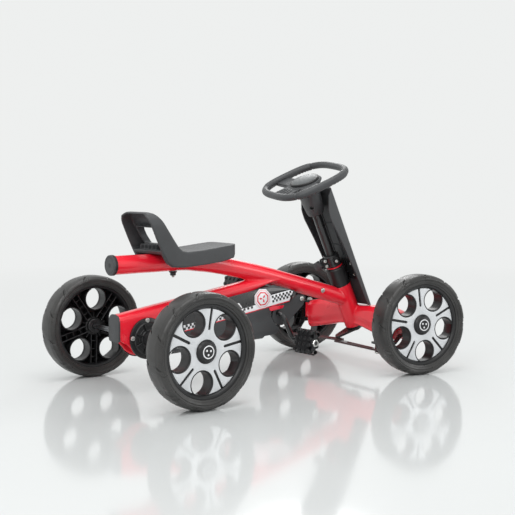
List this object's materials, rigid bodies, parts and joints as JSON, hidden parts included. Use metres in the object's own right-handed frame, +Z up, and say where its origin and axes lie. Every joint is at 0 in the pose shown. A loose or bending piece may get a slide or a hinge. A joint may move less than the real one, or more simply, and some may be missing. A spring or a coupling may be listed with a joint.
{
  "type": "pedal go kart",
  "caption": "Small child's pedal go kart: bent steel tube frame, chain drive to the rear axle, linked front-wheel steering, sliding bucket seat and a channel shield before the column.",
  "frame": {"origin": "centre of the bounding box, on the ground under the tyres", "axes": "+X forward, +Y to the kart's left, +Z up; the front wheels and the steering wheel are turned a little to the right at rest"},
  "size_m": [0.845, 0.527, 0.4864],
  "materials": {
    "red_paint": "gloss",
    "grey_plastic": "fine grain, satin",
    "black_plastic": "satin",
    "tyre": "satin",
    "silver_cover": "silver lacquer",
    "zinc_steel": "bright zinc",
    "black_steel": "semi-gloss",
    "tie_rod_paint": "semi-gloss",
    "pad_grey": "satin",
    "sticker": "printed film"
  },
  "bodies": {
    "chassis": {"main_tube": "red_paint", "rear_arm": "red_paint", "head_tube": "red_paint", "front_beam": "red_paint", "tube_end_cap": "grey_plastic", "arm_end_cover": "grey_plastic", "bearing_housing_right": "black_plastic", "bearing_housing_left": "black_plastic", "chain_guard_right": "grey_plastic", "chain_guard_left": "grey_plastic", "sticker_right": "sticker", "chain": "black_steel", "crank_bracket": "black_steel", "column_sleeve": "black_plastic", "lower_bush": "black_plastic", "front_shield": "grey_plastic", "shield_bracket": "black_steel", "frame_bolt": "zinc_steel", "bracket_bolt": "zinc_steel"},
    "seat": {"seat_shell": "grey_plastic", "seat_saddle": "black_steel", "seat_bolt": "zinc_steel", "seat_nut": "black_plastic"},
    "steering": {"steering_wheel": "grey_plastic", "steering_pad": "pad_grey", "steering_boss": "grey_plastic", "steering_column": "black_steel", "column_clamp": "grey_plastic", "column_washer": "red_paint", "pitman_arm": "black_steel"},
    "steering_knuckle_right": {"knuckle_right": "black_steel", "kingpin_right": "zinc_steel"},
    "steering_knuckle_left": {"knuckle_left": "black_steel", "kingpin_left": "zinc_steel"},
    "tie_rod_right": {"tie_rod_right": "tie_rod_paint"},
    "tie_rod_left": {"tie_rod_left": "tie_rod_paint"},
    "wheel_front_right": {"tyre_front_right": "tyre", "rim_front_right": "black_plastic", "wheel_cover_front_right": "silver_cover", "hub_cap_front_right": "black_plastic"},
    "wheel_front_left": {"tyre_front_left": "tyre", "rim_front_left": "black_plastic", "wheel_cover_front_left": "silver_cover", "hub_cap_front_left": "black_plastic"},
    "rear_drive": {"rear_axle": "zinc_steel", "rear_sprocket": "zinc_steel", "tyre_rear_right": "tyre", "rim_rear_right": "black_plastic", "wheel_cover_rear_right": "silver_cover", "hub_cap_rear_right": "black_plastic"},
    "wheel_rear_left": {"tyre_rear_left": "tyre", "rim_rear_left": "black_plastic", "wheel_cover_rear_left": "silver_cover", "hub_cap_rear_left": "black_plastic"},
    "crank": {"crank": "black_steel", "front_sprocket": "zinc_steel"},
    "pedal_right": {"pedal_right": "black_plastic"},
    "pedal_left": {"pedal_left": "black_plastic"}
  },
  "joints": [
    {"name": "seat_slide", "type": "slide", "parent": "chassis", "child": "seat", "axis": [1, 0, 0], "range_m": [-0.04, 0.01]},
    {"name": "steering_turn", "type": "hinge", "parent": "chassis", "child": "steering", "pos_m": [0.28595, 0, 0.114], "axis": [-0.4226, 0, 0.9063], "range_deg": [-17.6, 46.7]},
    {"name": "knuckle_right_steer", "type": "hinge", "parent": "chassis", "child": "steering_knuckle_right", "pos_m": [0.29945, -0.172, 0.108], "axis": [0, 0, 1], "range_deg": [-13.1, 34.9]},
    {"name": "knuckle_left_steer", "type": "hinge", "parent": "chassis", "child": "steering_knuckle_left", "pos_m": [0.29945, 0.172, 0.108], "axis": [0, 0, 1], "range_deg": [-13.2, 35]},
    {"name": "tie_rod_right_turn", "type": "hinge", "parent": "steering_knuckle_right", "child": "tie_rod_right", "pos_m": [0.2388, -0.13792, 0.054], "axis": [0, 0, 1], "range_deg": [-40, 15.1]},
    {"name": "tie_rod_left_turn", "type": "hinge", "parent": "steering_knuckle_left", "child": "tie_rod_left", "pos_m": [0.23048, 0.16288, 0.054], "axis": [0, 0, 1], "range_deg": [-40, 15.1]},
    {"name": "wheel_front_right_spin", "type": "hinge", "parent": "steering_knuckle_right", "child": "wheel_front_right", "pos_m": [0.29075, -0.21717, 0.114], "axis": [0.1891, 0.982, 0], "continuous": true},
    {"name": "wheel_front_left_spin", "type": "hinge", "parent": "steering_knuckle_left", "child": "wheel_front_left", "pos_m": [0.30815, 0.21717, 0.114], "axis": [0.1891, 0.982, 0], "continuous": true},
    {"name": "rear_axle_spin", "type": "hinge", "parent": "chassis", "child": "rear_drive", "pos_m": [-0.30855, 0, 0.114], "axis": [0, 1, 0], "continuous": true},
    {"name": "wheel_rear_left_spin", "type": "hinge", "parent": "chassis", "child": "wheel_rear_left", "pos_m": [-0.30855, 0.218, 0.114], "axis": [0, 1, 0], "continuous": true},
    {"name": "crank_spin", "type": "hinge", "parent": "chassis", "child": "crank", "pos_m": [0.03245, 0, 0.141], "axis": [0, 1, 0], "continuous": true},
    {"name": "pedal_right_spin", "type": "hinge", "parent": "crank", "child": "pedal_right", "pos_m": [0.06531, -0.09, 0.07919], "axis": [0, 1, 0], "continuous": true},
    {"name": "pedal_left_spin", "type": "hinge", "parent": "crank", "child": "pedal_left", "pos_m": [-0.00041, 0.09, 0.20281], "axis": [0, 1, 0], "continuous": true}
  ],
  "couplings": [
    {"joint": "knuckle_left_steer", "follows": "knuckle_right_steer", "ratio": 1},
    {"joint": "steering_turn", "follows": "knuckle_right_steer", "ratio": 1.3333},
    {"joint": "tie_rod_right_turn", "follows": "knuckle_right_steer", "ratio": -1.1417},
    {"joint": "tie_rod_left_turn", "follows": "knuckle_right_steer", "ratio": -1.1387},
    {"joint": "crank_spin", "follows": "rear_axle_spin", "ratio": 0.54546}
  ]
}
